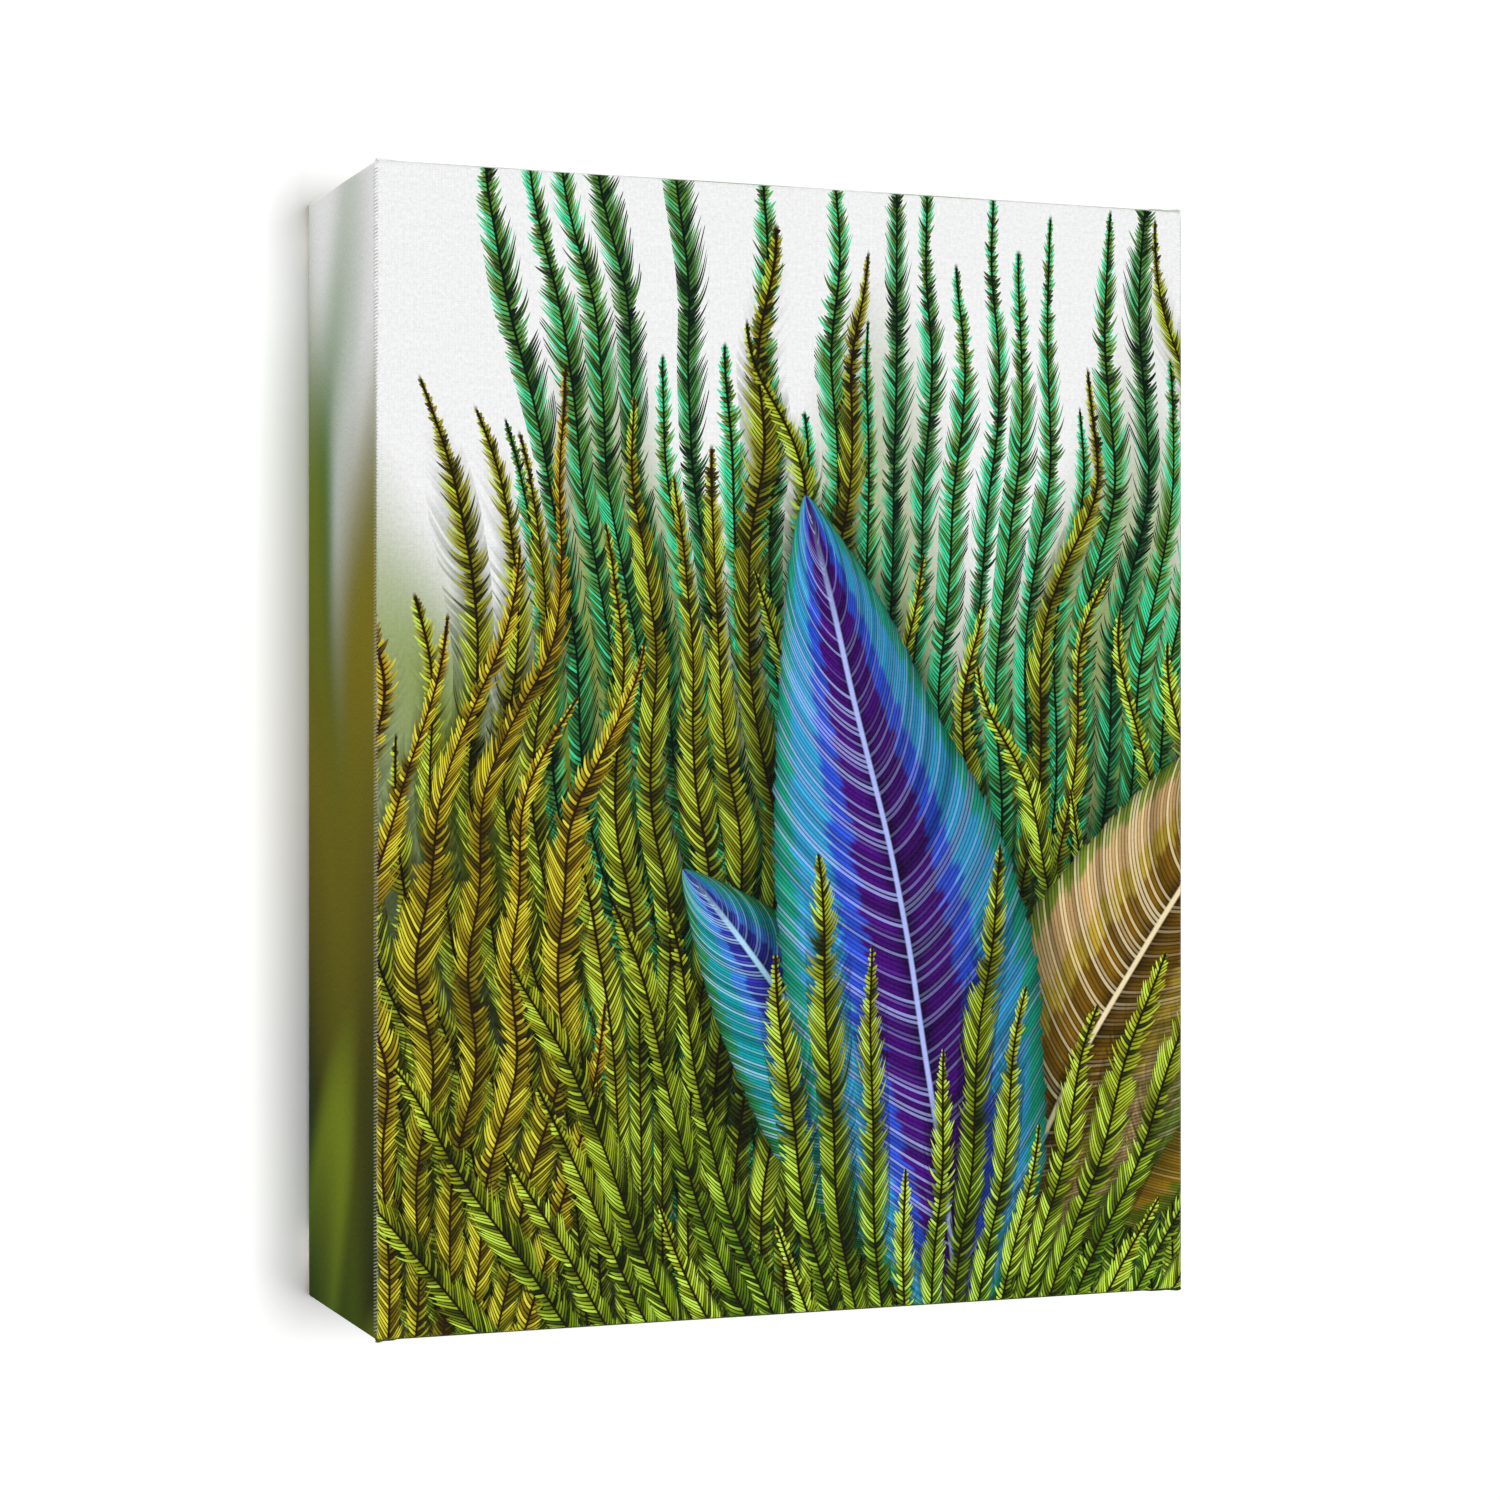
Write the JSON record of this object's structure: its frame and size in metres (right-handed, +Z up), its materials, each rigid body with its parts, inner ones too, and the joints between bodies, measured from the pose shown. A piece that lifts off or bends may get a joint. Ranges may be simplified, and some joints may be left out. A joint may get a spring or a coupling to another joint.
{
  "type": "stretched canvas print",
  "caption": "Gallery-wrapped canvas print on deep mitred pine stretcher bars, stapled behind, with a sawtooth hanger and rubber bumpers; it hangs flat on a wall.",
  "frame": {"origin": "top of the middle notch of the sawtooth hanger, in the middle of its plate, where the wall nail bears", "axes": "+X to the right as seen from the printed face, +Y from the face towards the wall, +Z up"},
  "size_m": [0.156, 0.0525, 0.203],
  "materials": {
    "printed_canvas": "matt primed cotton canvas, printed all round, raw inside",
    "pine": "planed, unfinished",
    "staple_steel": "galvanised wire",
    "v_nail_steel": "bare spring steel, driven flush",
    "hanger_zinc": "yellow zinc plate",
    "nail_steel": "yellow zinc plate",
    "bumper_rubber": "translucent grey, satin"
  },
  "bodies": {
    "root": {"canvas": "printed_canvas", "bar_top": "pine", "bar_bottom": "pine", "bar_left": "pine", "bar_right": "pine", "v_nail_top_left": "v_nail_steel", "v_nail_top_right": "v_nail_steel", "v_nail_bottom_left": "v_nail_steel", "v_nail_bottom_right": "v_nail_steel", "staple_top_1": "staple_steel", "staple_top_2": "staple_steel", "staple_top_3": "staple_steel", "staple_bottom_1": "staple_steel", "staple_bottom_2": "staple_steel", "staple_bottom_3": "staple_steel", "staple_left_1": "staple_steel", "staple_left_2": "staple_steel", "staple_left_3": "staple_steel", "staple_left_4": "staple_steel", "staple_right_1": "staple_steel", "staple_right_2": "staple_steel", "staple_right_3": "staple_steel", "staple_right_4": "staple_steel", "hanger": "hanger_zinc", "hanger_nail_left": "nail_steel", "hanger_nail_right": "nail_steel", "bumper_left": "bumper_rubber", "bumper_right": "bumper_rubber"}
  },
  "joints": []
}
